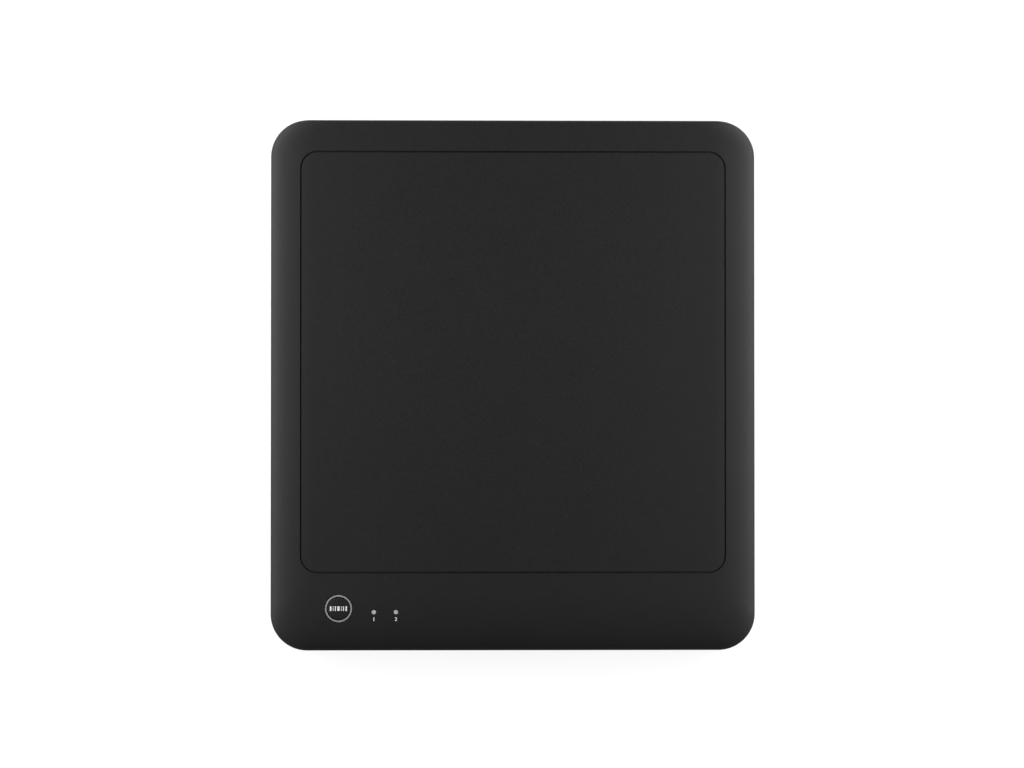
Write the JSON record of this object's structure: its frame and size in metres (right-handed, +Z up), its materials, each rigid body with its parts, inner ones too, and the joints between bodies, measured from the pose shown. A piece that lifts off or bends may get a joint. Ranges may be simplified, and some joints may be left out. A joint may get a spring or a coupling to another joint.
{
  "type": "desktop rfid reader",
  "caption": "Flat rounded counter-top tag reader with a flush antenna panel, a ringed scan key and two indicator lights along its front edge.",
  "frame": {"origin": "on the table, under the middle of the housing's plan", "axes": "+Z up; the front, with the key and the lights, is -Y; +X to the right as seen from the front"},
  "size_m": [0.265, 0.29, 0.023],
  "materials": {
    "housing": "fine textured black moulding",
    "panel": "fine textured black plate",
    "milky": "translucent light guide",
    "rubber": "matt",
    "screw_steel": "zinc plated",
    "tinned_steel": "tinned",
    "aluminium": "rolled sheet",
    "brass": "turned, gold flashed",
    "circuit_board": "green solder mask",
    "chip": "moulded epoxy",
    "nylon": "natural white",
    "ribbon": "polyester film",
    "pouch": "laminated foil",
    "red_wire": "insulation",
    "black_wire": "insulation",
    "light_chip": "cast resin"
  },
  "bodies": {
    "housing": {"antenna_cable": "black_wire", "antenna_feed_board": "circuit_board", "antenna_feed_pin": "brass", "antenna_ground_plate": "aluminium", "antenna_panel": "panel", "antenna_patch": "aluminium", "base_cover": "housing", "battery_cell": "pouch", "battery_lead_negative": "black_wire", "battery_lead_positive": "red_wire", "battery_plug": "nylon", "battery_socket": "nylon", "board_screw_1": "screw_steel", "board_screw_2": "screw_steel", "board_screw_3": "screw_steel", "board_screw_4": "screw_steel", "buzzer": "chip", "cable_plug_feed": "brass", "cable_plug_module": "brass", "charge_board": "circuit_board", "charge_ribbon": "ribbon", "charge_socket_shell": "tinned_steel", "charge_socket_tongue": "chip", "cover_screw_1": "screw_steel", "cover_screw_2": "screw_steel", "cover_screw_3": "screw_steel", "cover_screw_4": "screw_steel", "cover_screw_5": "screw_steel", "cover_screw_6": "screw_steel", "front_left_foot": "rubber", "front_right_foot": "rubber", "link_led": "light_chip", "link_light_pipe": "milky", "main_board": "circuit_board", "patch_spacer_1": "nylon", "patch_spacer_2": "nylon", "patch_spacer_3": "nylon", "patch_spacer_4": "nylon", "plate_screw_1": "screw_steel", "plate_screw_2": "screw_steel", "plate_screw_3": "screw_steel", "plate_screw_4": "screw_steel", "processor_chip": "chip", "radio_module": "tinned_steel", "reader_module_board": "circuit_board", "reader_module_shield": "tinned_steel", "rear_left_foot": "rubber", "rear_right_foot": "rubber", "ribbon_socket_main": "nylon", "ribbon_socket_rear": "nylon", "ring_led_1": "light_chip", "ring_led_2": "light_chip", "scan_light_ring": "milky", "scan_switch": "chip", "top_cover": "housing", "work_led": "light_chip", "work_light_pipe": "milky"},
    "key": {"scan_key": "housing", "scan_switch_plunger": "nylon"}
  },
  "joints": [
    {"name": "key_press", "type": "slide", "parent": "housing", "child": "key", "axis": [0, 0, -1], "range_m": [0, 0.0006], "stiffness_N_per_m": 2500}
  ]
}
